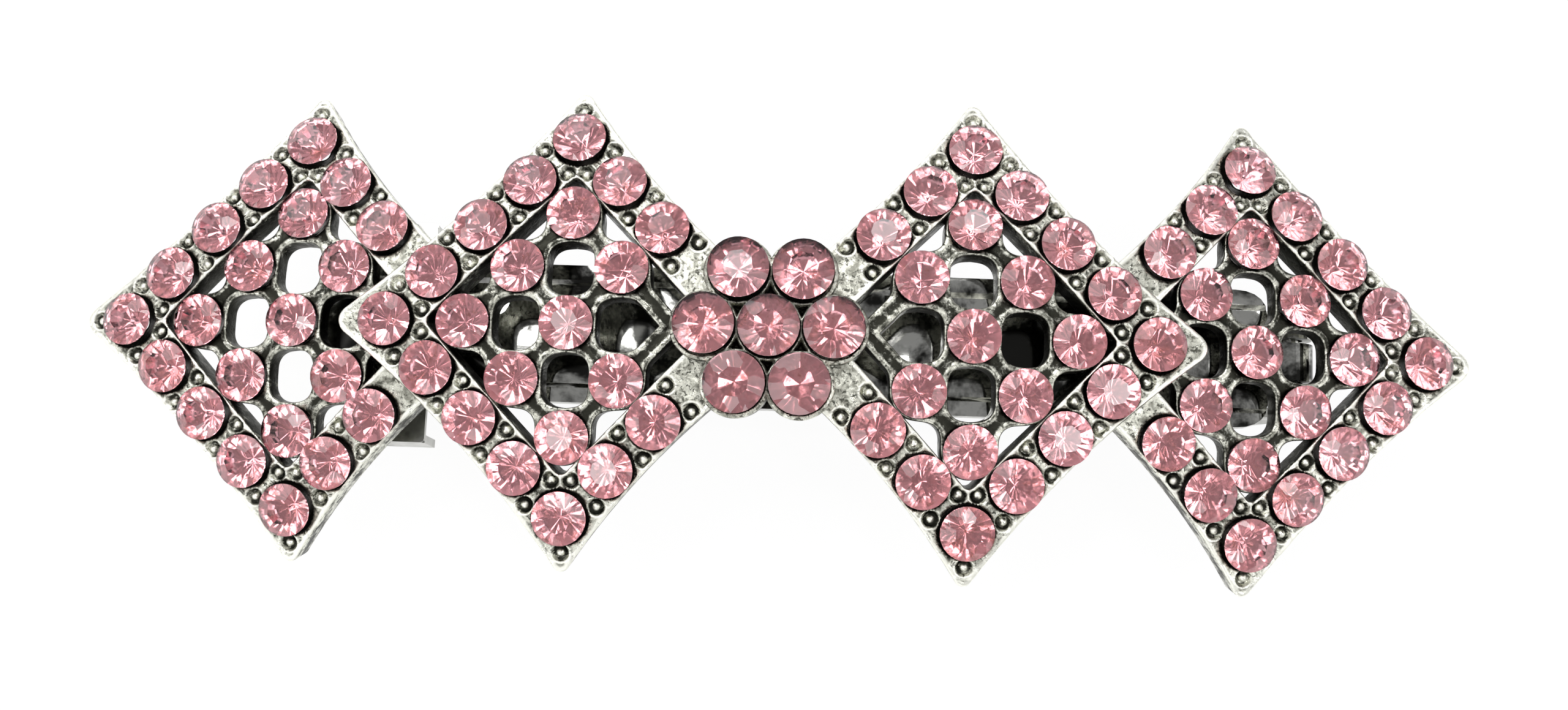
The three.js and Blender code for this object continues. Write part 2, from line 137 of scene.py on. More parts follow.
def latticeSeats(diamond):
    # three by three places on the diagonals, without the one towards the middle of the clip
    i, j = np.meshgrid([-1, 0, 1], [-1, 0, 1], indexing="ij")
    i, j = i.ravel(), j.ravel()
    keep = (i + j) > -2
    i, j = i[keep], j[keep]
    x = diamond["centre"] + diamond["outward"] * latticeHalf[0] * (i + j) / 2
    z = np.full(len(i), diamond["height"] - layout["latticeDrop"])
    return np.stack([x, latticeHalf[1] * (i - j) / 2, z], axis=1)


def flowerSeats():
    angle = np.arange(6) * math.pi / 3
    ring = np.stack([petalPitch * np.cos(angle), petalPitch * np.sin(angle)], axis=1)
    flat = np.vstack([[0.0, 0.0], ring])
    return np.hstack([flat, np.full((7, 1), layout["flowerRise"])])


def nearest(x, y, places):
    # distance to the closest of a few places
    distance = np.full(np.shape(x), 1e3)
    for place in places:
        distance = np.minimum(distance, np.hypot(x - place[0], y - place[1]))
    return distance


# Meshes

def makePiece(name, points, faces, materials, body="clip_body", shade=True, slots=None):
    mesh = bpy.data.meshes.new(name)
    mesh.from_pydata((points * mm).tolist(), [], faces)
    for material in materials:
        mesh.materials.append(material)
    if slots is not None:
        mesh.polygons.foreach_set("material_index", slots)
    mesh.polygons.foreach_set("use_smooth", np.full(len(mesh.polygons), shade))
    mesh.update()
    piece = bpy.data.objects.new(name, mesh)
    bpy.context.collection.objects.link(piece)
    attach(piece, body)
    return piece


def paint(piece, name, values):
    layer = piece.data.attributes.new(name, "FLOAT", "POINT")
    layer.data.foreach_set("value", values.astype(np.float32))


def sweep(rows, closedRing=True):
    # quads between neighbouring rows of a grid, wrapped round the second index
    count, width = rows.shape
    here = rows[:-1]
    below = rows[1:]
    quads = np.stack([here, np.roll(here, -1, 1), np.roll(below, -1, 1), below], axis=2)
    if not closedRing:
        quads = quads[:, :-1]
    return quads.reshape(-1, 4)


# Shader groups

def newGroup(name, inputs, outputs):
    group = bpy.data.node_groups.new(name, "ShaderNodeTree")
    for label, kind, value in inputs:
        socket = group.interface.new_socket(name=label, in_out="INPUT", socket_type=kind)
        socket.default_value = value
    for label, kind in outputs:
        group.interface.new_socket(name=label, in_out="OUTPUT", socket_type=kind)
    start = group.nodes.new("NodeGroupInput")
    end = group.nodes.new("NodeGroupOutput")
    return group, start, end


def addNode(tree, kind, values=None, **settings):
    node = tree.nodes.new(kind)
    for key, value in settings.items():
        setattr(node, key, value)
    for key, value in (values or {}).items():
        node.inputs[key].default_value = value
    return node


def link(tree, source, target):
    tree.links.new(source, target)


def ramp(tree, source, low, high, lowValue=0.0, highValue=1.0):
    node = addNode(tree, "ShaderNodeMapRange", {1: low, 2: high, 3: lowValue, 4: highValue},
                   interpolation_type="SMOOTHSTEP")
    link(tree, source, node.inputs[0])
    return node.outputs[0]


def mixColour(tree, factor, first, second):
    node = addNode(tree, "ShaderNodeMix", data_type="RGBA")
    link(tree, factor, node.inputs[0])
    for socket, value in ((node.inputs[6], first), (node.inputs[7], second)):
        if isinstance(value, tuple):
            socket.default_value = (*value, 1.0)
        else:
            link(tree, value, socket)
    return node.outputs[2]


def buildMottle():
    # blotches at three scales on the surface's own coordinates, as one mask and one fine height
    group, start, end = newGroup(
        "mottle",
        [("Vector", "NodeSocketVector", (0, 0, 0)), ("Scale", "NodeSocketFloat", 900.0),
         ("Threshold", "NodeSocketFloat", 0.5), ("Softness", "NodeSocketFloat", 0.12)],
        [("Mask", "NodeSocketFloat"), ("Height", "NodeSocketFloat")])
    broad = addNode(group, "ShaderNodeTexNoise", {"Detail": 5.0, "Roughness": 0.62, "Distortion": 0.4})
    fine = addNode(group, "ShaderNodeTexNoise", {"Detail": 3.0, "Roughness": 0.6})
    times = addNode(group, "ShaderNodeMath", {1: 5.0}, operation="MULTIPLY")
    link(group, start.outputs["Scale"], broad.inputs["Scale"])
    link(group, start.outputs["Scale"], times.inputs[0])
    link(group, times.outputs[0], fine.inputs["Scale"])
    link(group, start.outputs["Vector"], broad.inputs["Vector"])
    link(group, start.outputs["Vector"], fine.inputs["Vector"])
    both = addNode(group, "ShaderNodeMath", {1: 0.25, 2: -0.125}, operation="MULTIPLY_ADD")
    link(group, fine.outputs[0], both.inputs[0])
    total = addNode(group, "ShaderNodeMath", operation="ADD")
    link(group, broad.outputs[0], total.inputs[0])
    link(group, both.outputs[0], total.inputs[1])
    low = addNode(group, "ShaderNodeMath", operation="SUBTRACT")
    high = addNode(group, "ShaderNodeMath", operation="ADD")
    for node in (low, high):
        link(group, start.outputs["Threshold"], node.inputs[0])
        link(group, start.outputs["Softness"], node.inputs[1])
    mask = addNode(group, "ShaderNodeMapRange", interpolation_type="SMOOTHSTEP")
    link(group, total.outputs[0], mask.inputs[0])
    link(group, low.outputs[0], mask.inputs[1])
    link(group, high.outputs[0], mask.inputs[2])
    link(group, mask.outputs[0], end.inputs["Mask"])
    link(group, total.outputs[0], end.inputs["Height"])
    return group


mottle = buildMottle()


def newMaterial(name):
    material = bpy.data.materials.new(name)
    material.use_nodes = True
    tree = material.node_tree
    shader = tree.nodes["Principled BSDF"]
    place = addNode(tree, "ShaderNodeTexCoord")
    return material, tree, shader, place.outputs["Object"]


def useMottle(tree, place, scale, threshold, softness):
    node = addNode(tree, "ShaderNodeGroup", node_tree=mottle)
    node.inputs["Scale"].default_value = scale
    node.inputs["Threshold"].default_value = threshold
    node.inputs["Softness"].default_value = softness
    link(tree, place, node.inputs["Vector"])
    return node


def addBump(tree, shader, height, strength, distance):
    bump = addNode(tree, "ShaderNodeBump", {"Strength": strength, "Distance": distance})
    link(tree, height, bump.inputs["Height"])
    link(tree, bump.outputs["Normal"], shader.inputs["Normal"])
    return bump


silver = {
    "polished": (0.90, 0.90, 0.82),
    "bright": (0.68, 0.68, 0.60),
    "dull": (0.30, 0.30, 0.255),
    "speck": (0.085, 0.085, 0.070),
    "dark": (0.030, 0.030, 0.024),
    "roughness": (0.22, 0.50),
    "broadMottle": (150.0, 0.5, 0.2),   # scale, threshold and softness of each mottle
    "blotchMottle": (1500.0, 0.52, 0.10),
    "speckMottle": (3900.0, 0.57, 0.06),
    "fineShare": 1.1,
    "fineShift": -0.56,
    "broadShare": 0.28,
    "rubbed": (-0.35, -0.02),           # patina from fully rubbed to not at all
    "stainAndShadeRange": (0.28, 0.62),            # sum from clean metal to full stain and painted shadow
    "relief": 0.00008,
}


def silverMaterial():
    # Antique silver: the point attribute read here is near 1 in recesses and below 0 on rubbed edges, and
    # also carries a painted shadow ring round the frame stones. Noise is added to it, then a high sum is dark
    # stain in the hollows and painted shadow at the ring, and a low one polished metal.
    material, tree, shader, place = newMaterial("antiqueSilver")
    blotch = useMottle(tree, place, *silver["blotchMottle"])
    speck = useMottle(tree, place, *silver["speckMottle"])
    broad = useMottle(tree, place, *silver["broadMottle"])
    wearPatinaAndShade = addNode(tree, "ShaderNodeAttribute", attribute_name="patinaAndShade")
    fine = addNode(tree, "ShaderNodeMath", {1: silver["fineShare"], 2: silver["fineShift"]},
                   operation="MULTIPLY_ADD")
    wide = addNode(tree, "ShaderNodeMath", {1: silver["broadShare"]}, operation="MULTIPLY_ADD")
    total = addNode(tree, "ShaderNodeMath", operation="ADD")
    link(tree, blotch.outputs["Height"], fine.inputs[0])
    link(tree, broad.outputs["Mask"], wide.inputs[0])
    link(tree, fine.outputs[0], wide.inputs[2])
    link(tree, wearPatinaAndShade.outputs["Fac"], total.inputs[0])
    link(tree, wide.outputs[0], total.inputs[1])
    metal = mixColour(tree, blotch.outputs["Mask"], silver["bright"], silver["dull"])
    specked = mixColour(tree, speck.outputs["Mask"], metal, silver["speck"])
    rubbed = ramp(tree, wearPatinaAndShade.outputs["Fac"], *silver["rubbed"], 1.0, 0.0)
    shining = mixColour(tree, rubbed, specked, silver["polished"])
    # a high sum takes the dark colour: stain in the hollows and the painted shadow ring round the frame
    # stones
    stainAndShade = ramp(tree, total.outputs[0], *silver["stainAndShadeRange"])
    link(tree, mixColour(tree, stainAndShade, shining, silver["dark"]), shader.inputs["Base Color"])
    rough = ramp(tree, blotch.outputs["Height"], 0.3, 0.7, *silver["roughness"])
    link(tree, rough, shader.inputs["Roughness"])
    shader.inputs["Metallic"].default_value = 1.0
    addBump(tree, shader, blotch.outputs["Height"], 0.8, silver["relief"])
    return material


# Plating of the clasp: the second colour is painted dark reflection in patches, grey on the nickel parts and
# near black on the base plate's copy, and buckle how far the sheet is from flat
plating = {
    "nickelPlate": {"bright": (0.54, 0.54, 0.515), "darkReflection": (0.30, 0.30, 0.28),
                    "roughness": (0.15, 0.30), "patches": (260.0, 0.54, 0.22), "buckle": 0.00006},
    # the base plate's copy is painted near black in most patches, a painted dark reflection of the shade it
    # mirrors
    "paintedShadePlate": {"bright": (0.66, 0.66, 0.63), "darkReflection": (0.028, 0.028, 0.026),
                    "roughness": (0.04, 0.14), "patches": (210.0, 0.455, 0.09), "buckle": 0.0007},
}
rolling = {"stretch": 0.04, "scale": 5200.0, "strength": 0.05, "depth": 0.00002}


def platedMaterial(name):
    # bright plating with painted dark reflection in patches, faintly buckled, with fine rolling lines along
    # the strip
    look = plating[name]
    material, tree, shader, place = newMaterial(name)
    darkReflection = useMottle(tree, place, *look["patches"])
    turn = addNode(tree, "ShaderNodeMapping", {"Scale": (rolling["stretch"], 1.0, 1.0)})
    link(tree, place, turn.inputs["Vector"])
    lines = addNode(tree, "ShaderNodeTexNoise", {"Scale": rolling["scale"], "Detail": 2.0})
    link(tree, turn.outputs[0], lines.inputs["Vector"])
    # painted dark reflection: the masked patches take the dark second colour in place of the bright plating
    colour = mixColour(tree, darkReflection.outputs["Mask"], look["bright"], look["darkReflection"])
    link(tree, colour, shader.inputs["Base Color"])
    rough = ramp(tree, darkReflection.outputs["Height"], 0.35, 0.7, *look["roughness"])
    link(tree, rough, shader.inputs["Roughness"])
    shader.inputs["Metallic"].default_value = 1.0
    waves = addNode(tree, "ShaderNodeTexNoise", {"Scale": look["patches"][0], "Detail": 0.0})
    link(tree, place, waves.inputs["Vector"])
    buckled = addNode(tree, "ShaderNodeBump", {"Strength": 1.0, "Distance": look["buckle"]})
    link(tree, waves.outputs[0], buckled.inputs["Height"])
    rolled = addBump(tree, shader, lines.outputs[0], rolling["strength"], rolling["depth"])
    link(tree, buckled.outputs["Normal"], rolled.inputs["Normal"])
    return material


stone = {
    "tint": (0.94, 0.60, 0.68),
    "deep": (0.89, 0.50, 0.55),
    "foil": (0.94, 0.79, 0.78),
    "foilStain": (0.62, 0.42, 0.36),
    "drift": (160.0, 0.5, 0.15),
    "rub": (1500.0, 0.62, 0.08),
    "refraction": 1.56,
    "girdleLift": 0.42,      # low enough to leave room for the lean
    "girdleHeight": 0.12,
    "crownHeight": 0.5,
    "pavilionDepth": 1.5,
    "tableShare": 0.5,
    "cornerShare": 0.70,     # how far out the crown's main facets meet
    "sides": 8,
    "perSide": 4,
    "tilt": 2.0,             # degrees of lean, give or take
}


def glassMaterial():
    # pink glass, with the depth of its colour drifting a little from stone to stone
    material, tree, shader, place = newMaterial("pinkGlass")
    drift = useMottle(tree, place, *stone["drift"])
    colour = mixColour(tree, drift.outputs["Mask"], stone["tint"], stone["deep"])
    link(tree, colour, shader.inputs["Base Color"])
    shader.inputs["Roughness"].default_value = 0.0
    shader.inputs["IOR"].default_value = stone["refraction"]
    shader.inputs["Transmission Weight"].default_value = 1.0
    return material


def foilMaterial():
    # silver foil on the point of a stone, with small stained and rubbed places
    material, tree, shader, place = newMaterial("stoneFoil")
    rub = useMottle(tree, place, *stone["rub"])
    colour = mixColour(tree, rub.outputs["Mask"], stone["foil"], stone["foilStain"])
    link(tree, colour, shader.inputs["Base Color"])
    link(tree, ramp(tree, rub.outputs["Height"], 0.4, 0.8, 0.06, 0.3), shader.inputs["Roughness"])
    shader.inputs["Metallic"].default_value = 1.0
    return material


silverCast = silverMaterial()
plates = {name: platedMaterial(name) for name in plating}
pinkGlass = glassMaterial()
stoneFoil = foilMaterial()
print("materials ready")


# The casting

casting = {
    "cell": 0.105,          # grid spacing
    "edgeRound": 0.13,      # radius of every outer edge
    "endRound": 1.25,       # tip radius at the clip's ends
    "sideRound": 0.75,      # tip radius at the top and bottom
    "openingRound": 0.45,
    "webHalf": 0.58,        # half a lattice bar's width
    "webFillet": 0.85,      # bar to cup
    "fillet": 0.35,         # lattice to band
    "flowerHeart": 0.85,    # radius of the plate under the flower, as a share of the petals' pitch
    "flowerNotch": 0.45,    # a diamond stops this far inside the flower's outline
    "outerNotch": 0.5,      # and an outer diamond this far inside an inner one's
    "holeRadius": 0.45,     # open bottom of a seat
    "seatRadius": 1.72,
    "seatWall": 0.38,       # depth of a seat's straight wall
    "seatSlope": 0.85,
    "flowerRim": 0.50,      # petal cups' rims over the frame
    "flowerLip": 0.12,      # wider than the cup that holds the stone
    "beadRadius": 0.27,
    "beadRecess": 0.53,
    "beadDepth": 0.30,
    "beadOffset": 1.08,     # bead to the middle of the band
    "tipBead": 2.1,         # bead beyond a tip's stone
    "outerWallDark": 0.48,     # how dark the outer walls are
    "innerWallDark": 0.74,     # how dark the openings' walls are
    "edgeWear": 0.10,       # how much brighter a rubbed edge is
    "ringStain": 0.40,      # how dark the bead recesses are
    "latticeStain": 0.56,   # how dark the sunk lattice is
    "seatStep": 0.13,       # width over which a seat's straight wall falls
    "ringHeight": 0.07,     # raised ring round a bead's recess
    "rimHeight": 0.09,      # raised rim of an opening
    "lipHeight": 0.06,      # raised lip along a band's inner edge
    "wobble": 0.018,
    "backs": {"outerLeft": -1.97, "innerLeft": -2.0, "innerRight": -2.0, "outerRight": -1.97},
    "flowerBack": -2.03,
}


def hollowSide(x, y):
    # distance outside one side of a diamond: the inside of a wide circle that bows into the side
    chord = math.hypot(*tipHalf)
    hollow = layout["sideHollow"]
    radius = chord * chord / (8 * hollow) + hollow / 2
    normal = tipHalf[::-1] / chord
    centre = tipHalf / 2 + normal * (radius - hollow)
    return radius - np.hypot(x - centre[0], y - centre[1])


def outlineField(x, y, diamond):
    # four hollow sides met in pairs, with rounder tips at the clip's ends
    x = x - diamond["centre"]
    share = smooth(np.abs(x) / (np.abs(x) + np.abs(y) + 1e-6))
    tip = casting["sideRound"] + (casting["endRound"] - casting["sideRound"]) * share
    first = np.maximum(hollowSide(x, y), hollowSide(-x, -y))
    second = np.maximum(hollowSide(-x, y), hollowSide(x, -y))
    return roundMax(first, second, tip)


def squareField(x, y, half, diamond, radius):
    # distance to a straight-sided diamond of the given half diagonals
    x = x - diamond["centre"]
    size = math.hypot(*half)
    first = np.abs(x * half[1] + y * half[0]) / size - half[0] * half[1] / size
    second = np.abs(x * half[1] - y * half[0]) / size - half[0] * half[1] / size
    return roundMax(first, second, radius)


def bandField(x, y, diamond):
    inside = squareField(x, y, insideHalf, diamond, casting["openingRound"])
    return np.maximum(outlineField(x, y, diamond), -inside)


def latticeField(x, y, diamond):
    # bars along the lattice's three rows and three columns, joined to a disc for every cup by fillets
    along = diamond["outward"] * (x - diamond["centre"]) / latticeHalf[0]
    across = y / latticeHalf[1]
    rise = 2 * latticeHalf[0] * latticeHalf[1] / math.hypot(*latticeHalf)
    row, column = along + across, along - across
    toBar = np.minimum(np.abs(row - np.clip(np.round(row), -1, 1)),
                       np.abs(column - np.clip(np.round(column), -1, 1))) * rise / 2
    square = squareField(x, y, latticeHalf, diamond, 0.2) - casting["webHalf"]
    bars = np.maximum(toBar - casting["webHalf"], square)
    cups = nearest(x, y, latticeSeats(diamond)) - cupRadius
    return softMin(bars, cups, casting["webFillet"])


def flowerField(x, y):
    # seven discs joined by a lower heart
    cups = nearest(x, y, flowerSeats()) - flowerCup - casting["flowerLip"]
    return softMin(cups, np.hypot(x, y) - petalPitch * casting["flowerHeart"], 0.1)


def plateField(x, y, diamond):
    # band and lattice joined with a fillet, cut back where the next piece of the casting covers it
    plate = softMin(bandField(x, y, diamond), latticeField(x, y, diamond), casting["fillet"])
    if diamond["inner"]:
        return np.maximum(plate, -(flowerField(x, y) + casting["flowerNotch"]))
    neighbour = diamonds[1] if diamond["centre"] < 0 else diamonds[2]
    return np.maximum(plate, -(outlineField(x, y, neighbour) + casting["outerNotch"]))


def beadPlaces(diamond):
    # two beads between neighbouring frame stones, one to each side of the band, and one beyond each tip
    steps = layout["stonesPerSide"] + layout["stonesPerSide"] // 2
    last = steps + 1 if diamond["inner"] else steps
    run = (np.arange(-last, last) + 0.5) / layout["stonesPerSide"]
    middle = ringPlaces(diamond, run)
    away = np.sign(np.stack([diamond["outward"] * (1 - np.abs(run)), run * 0 + np.sign(run)], axis=1))
    normal = away * ringHalf[::-1] / math.hypot(*ringHalf)
    rows = []
    for offset in (-casting["beadOffset"], casting["beadOffset"]):
        row = middle.copy()
        row[:, :2] += normal * offset
        rows.append(row)
    reach = ringHalf + casting["tipBead"]
    tips = [(diamond["centre"], away, diamond["height"]) for away in (reach[1], -reach[1])]
    if not diamond["inner"]:
        tips.append((diamond["centre"] + diamond["outward"] * reach[0], 0, diamond["height"]))
    return np.vstack(rows + [np.array(tips)])


waveAngle = random.uniform(0, 2 * math.pi, 9)
waveLength = random.uniform(0.7, 3.2, 9)
wavePhase = random.uniform(0, 2 * math.pi, 9)


def castWobble(x, y):
    # a few sine waves in random directions, so that no cast face is quite flat
    total = np.zeros(np.shape(x))
    for angle, length, phase in zip(waveAngle, waveLength, wavePhase):
        total += np.sin((x * math.cos(angle) + y * math.sin(angle)) * 2 * math.pi / length + phase)
    return total * casting["wobble"] / 3


def seatRelief(x, y, seats, radius, wall):
    # how far a stone's seat sinks below the metal: a short straight wall, then a cone to the open bottom
    distance = nearest(x, y, seats)
    cone = casting["seatSlope"] * np.maximum(radius - 0.2 - distance, 0)
    return wall * smooth((radius - distance) / casting["seatStep"]) + cone * (distance < radius)


def plateRelief(x, y, diamond):
    # height of the front face, and how dark its patina and painted shadow ring are
    solid = plateField(x, y, diamond)
    fromEdge = smooth((-solid - 0.10) / 0.15)
    band = bandField(x, y, diamond)
    height = diamond["height"] - layout["latticeDrop"] * smooth(band / 0.2)
    frameStones = seatRelief(x, y, frameSeats(diamond), casting["seatRadius"], casting["seatWall"])
    cups = seatRelief(x, y, latticeSeats(diamond), cupRadius - casting["seatStep"], 0.25)
    seat = fromEdge * np.maximum(frameStones * (band < 0.05), cups * (band > -0.2))
    toBead = nearest(x, y, beadPlaces(diamond))
    recess = fromEdge * casting["beadDepth"] * smooth((casting["beadRecess"] - toBead) / 0.14) * (band < 0)
    ringShape = np.exp(-((toBead - casting["beadRecess"] - 0.07) / 0.06) ** 2) * (band < 0)
    toOpening = -latticeField(x, y, diamond)
    rim = np.exp(-((toOpening - 0.22) / 0.12) ** 2) * (band > 0.1)
    lip = np.exp(-((band + 0.17) / 0.10) ** 2)
    height = height - seat - recess + casting["ringHeight"] * ringShape
    height = height + casting["rimHeight"] * rim + casting["lipHeight"] * lip + castWobble(x, y)
    patinaAndShade = np.maximum(smooth(seat / 0.3), casting["ringStain"] * smooth(recess / 0.25))
    patinaAndShade = patinaAndShade - 0.45 * rim - 0.5 * lip - 0.4 * ringShape
    # painted shadow: darkens a narrow ring of the band just outside each frame stone's seat, where the raised
    # stone shades the plate
    stoneShadowRing = np.exp(-(np.maximum(nearest(x, y, frameSeats(diamond)) - casting["seatRadius"], 0) / 0.22) ** 2)
    patinaAndShade = patinaAndShade + 0.22 * stoneShadowRing * (band < 0) + casting["latticeStain"] * smooth(band / 0.3)
    return height, np.clip(patinaAndShade, -0.4, 1)


def flowerRelief(x, y):
    # rims round wide cups, each with a cone under its stone
    cups = nearest(x, y, flowerSeats()) - flowerCup - casting["flowerLip"]
    raised = smooth(-cups / 0.16)
    height = -layout["latticeDrop"] + (casting["flowerRim"] + layout["latticeDrop"]) * raised
    seat = seatRelief(x, y, flowerSeats(), flowerCup - casting["seatStep"], 0.75)
    patinaAndShade = np.maximum(smooth(seat / 0.3), 0.62 * (1 - raised))
    return height - seat + 1.5 * castWobble(x, y), np.clip(patinaAndShade, 0, 1)


def wallDarkness(x, y):
    # outer walls are somewhat darkened, and walls inside the openings are dark
    outside = flowerField(x, y)
    for diamond in diamonds:
        outside = np.minimum(outside, outlineField(x, y, diamond))
    inward = smooth((-outside - 0.35) / 0.5)
    return casting["outerWallDark"] + (casting["innerWallDark"] - casting["outerWallDark"]) * inward


def castPiece(name, x, y, field, relief, bottom):
    # Keeps the grid cells inside the metal, moves their rim on to its edge less the rounding, and
    # carries the rim round and down to a flat back: out by r sin a and down by r (1 - cos a).
    edge = casting["edgeRound"]
    inset = lambda px, py: field(px, py) + edge
    cells = 0.25 * (x[1:, 1:] + x[1:, :-1] + x[:-1, 1:] + x[:-1, :-1]), \
        0.25 * (y[1:, 1:] + y[1:, :-1] + y[:-1, 1:] + y[:-1, :-1])
    keep = inset(*cells) < 0
    for _ in range(4):
        a, b, c, d = keep[:-1, :-1], keep[1:, :-1], keep[:-1, 1:], keep[1:, 1:]
        rising = a & d & ~b & ~c
        falling = b & c & ~a & ~d
        keep[1:, :-1] |= rising
        keep[:-1, :-1] |= falling
    around = np.zeros(x.shape, int)
    n, m = keep.shape
    for i in (0, 1):
        for j in (0, 1):
            around[i:i + n, j:j + m] += keep
    used = around > 0
    rim = used & (around < 4)
    px, py = x[rim], y[rim]
    homeX, homeY = px.copy(), py.copy()
    step = 0.02
    limit = casting["cell"]
    for _ in range(6):
        gx = (inset(px + step, py) - inset(px - step, py)) / (2 * step)
        gy = (inset(px, py + step) - inset(px, py - step)) / (2 * step)
        size = np.maximum(gx * gx + gy * gy, 0.2)
        value = inset(px, py)
        px = homeX + np.clip(px - value * gx / size - homeX, -limit, limit)
        py = homeY + np.clip(py - value * gy / size - homeY, -limit, limit)
    size = np.maximum(np.hypot(gx, gy), 1e-6)
    gx, gy = gx / size, gy / size
    gridX, gridY = x.copy(), y.copy()
    gridX[rim], gridY[rim] = px, py
    number = np.full(x.shape, -1)
    number[used] = np.arange(used.sum())
    topX, topY = gridX[used], gridY[used]
    topZ, topPatinaAndShade = relief(topX, topY)
    count = len(topX)
    rimNumber = number[rim]
    rows, rimPatinaAndShade, columns = [], [], [rimNumber]
    angles = np.radians([30, 60, 90])
    zTop = topZ[rimNumber]
    wall = wallDarkness(px, py)
    turns = [(a, zTop - edge * (1 - math.cos(a)), share) for a, share in zip(angles, (0.0, 0.1, 0.6))]
    turns += [(angles[-1], 0.5 * (zTop + bottom), 1.0)]
    turns += [(a, bottom + edge * (1 - math.cos(a)) + 0 * zTop, 0.8) for a in angles[::-1]]
    start = 2 * count
    for angle, z, share in turns:
        rows.append(np.stack([px + gx * edge * math.sin(angle), py + gy * edge * math.sin(angle), z], axis=1))
        rimPatinaAndShade.append((topPatinaAndShade[rimNumber] * 0.5 - casting["edgeWear"]) * (1 - share) + wall * share)
        columns.append(start + np.arange(len(px)))
        start += len(px)
    columns.append(rimNumber + count)
    columns = np.stack(columns)
    top = np.stack([topX, topY, topZ], axis=1)
    back = np.stack([topX, topY, np.full(count, bottom)], axis=1)
    points = np.vstack([top, back] + rows)
    patinaAndShade = np.concatenate([topPatinaAndShade, np.full(count, 0.12)] + rimPatinaAndShade)
    i, j = np.nonzero(keep)
    corners = np.stack([number[i, j], number[i + 1, j], number[i + 1, j + 1], number[i, j + 1]], axis=1)
    padded = np.pad(keep, 1)
    rimOrder = np.full(count, -1)
    rimOrder[rimNumber] = np.arange(len(rimNumber))
    walls = []
    for k, (di, dj) in enumerate(((0, -1), (1, 0), (0, 1), (-1, 0))):
        exposed = ~padded[i + 1 + di, j + 1 + dj]
        a = rimOrder[corners[exposed, k]]
        b = rimOrder[corners[exposed, (k + 1) % 4]]
        for here, below in zip(columns[:-1], columns[1:]):
            walls.append(np.stack([here[a], below[a], below[b], here[b]], axis=1))
    faces = np.vstack([corners, corners[:, ::-1] + count] + walls)
    piece = makePiece(name, bendFront(points), faces.tolist(), [silverCast])
    paint(piece, "patinaAndShade", patinaAndShade)
    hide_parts("casting")
    print(name, len(points), "points", len(faces), "faces")
    return piece


def diamondGrid(diamond):
    # rows and columns run parallel to the diamond's sides
    reach = tipHalf[0] / ringHalf[0] * 1.02
    count = int(reach * side / casting["cell"])
    i, j = np.meshgrid(np.linspace(-reach, reach, count), np.linspace(-reach, reach, count), indexing="ij")
    return diamond["centre"] + ringHalf[0] * (i + j) / 2, ringHalf[1] * (j - i) / 2


def seatHoles(field, seats, radius):
    return lambda x, y: np.maximum(field(x, y), radius - nearest(x, y, seats))


def addBeads(diamond):
    # small balls, each sunk in its recess: one latitude and longitude grid copied to every place
    rings, around = 5, 10
    down = np.linspace(0, math.pi * 0.62, rings + 1)[1:]
    turn = np.arange(around) * 2 * math.pi / around
    grid = np.stack([np.sin(down)[:, None] * np.cos(turn), np.sin(down)[:, None] * np.sin(turn),
                     np.cos(down)[:, None] + 0 * turn], axis=2).reshape(-1, 3)
    ball = np.vstack([[0, 0, 1], grid]) * casting["beadRadius"]
    places = beadPlaces(diamond)
    inside = plateField(places[:, 0], places[:, 1], diamond) < -casting["beadRadius"]
    places = places[inside]
    places[:, 2] += casting["beadRadius"] * 0.25 - casting["beadDepth"]
    points = (places[:, None, :] + ball[None]).reshape(-1, 3)
    ring = 1 + np.arange(rings * around).reshape(rings, around)
    cap = np.stack([np.zeros(around, int), ring[0], np.roll(ring[0], -1)], axis=1)
    quads = sweep(ring)[:, ::-1]
    faces = []
    for k in range(len(places)):
        shift = k * len(ball)
        faces += (cap + shift).tolist() + (quads + shift).tolist() + [(ring[-1][::-1] + shift).tolist()]
    piece = makePiece(f"beads_{diamond['name']}", bendFront(points), faces, [silverCast])
    tone = np.clip(0.15 - 0.7 * ball[:, 2] / casting["beadRadius"], -0.4, 1)
    paint(piece, "patinaAndShade", np.tile(tone, len(places)))
    return piece


for diamond in diamonds:
    x, y = diamondGrid(diamond)
    seats = np.vstack([frameSeats(diamond), latticeSeats(diamond)])
    plate = lambda px, py, diamond=diamond: plateField(px, py, diamond)
    castPiece(f"casting_{diamond['name']}", x, y, seatHoles(plate, seats, casting["holeRadius"]),
              lambda px, py, diamond=diamond: plateRelief(px, py, diamond), casting["backs"][diamond["name"]])
    addBeads(diamond)
reach = petalPitch + flowerCup + 0.2
line = np.arange(-reach, reach, casting["cell"] * 0.8)
x, y = np.meshgrid(line, line, indexing="ij")
castPiece("casting_flower", x, y, seatHoles(flowerField, flowerSeats(), casting["holeRadius"]),
          flowerRelief, casting["flowerBack"])


# The two cast pegs that carry the base plate: a boss, a thin neck and a peened head

peg = {
    "bossRadius": 1.7,
    "bossEdge": 0.2,
    "bossHeight": 1.9,       # reaches into the casting
    "neckRadius": 0.6,
    "headRadius": 1.1,
    "headHeight": 0.5,
    "dent": 0.025,           # unevenness of the casting
    "around": 40,
}


def pegLevels(x):
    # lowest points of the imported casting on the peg's axis and at its boss's edge
    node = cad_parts["casting"]
    corners = np.array([node.matrix_world @ corner.co for corner in node.data.vertices]) / mm
    away = np.hypot(corners[:, 0] - x, corners[:, 1])
    onAxis = away < peg["neckRadius"] / 2
    onEdge = np.abs(away - peg["bossRadius"]) < peg["headHeight"] / 4
    return corners[onAxis, 2].min(), corners[onEdge, 2].min()


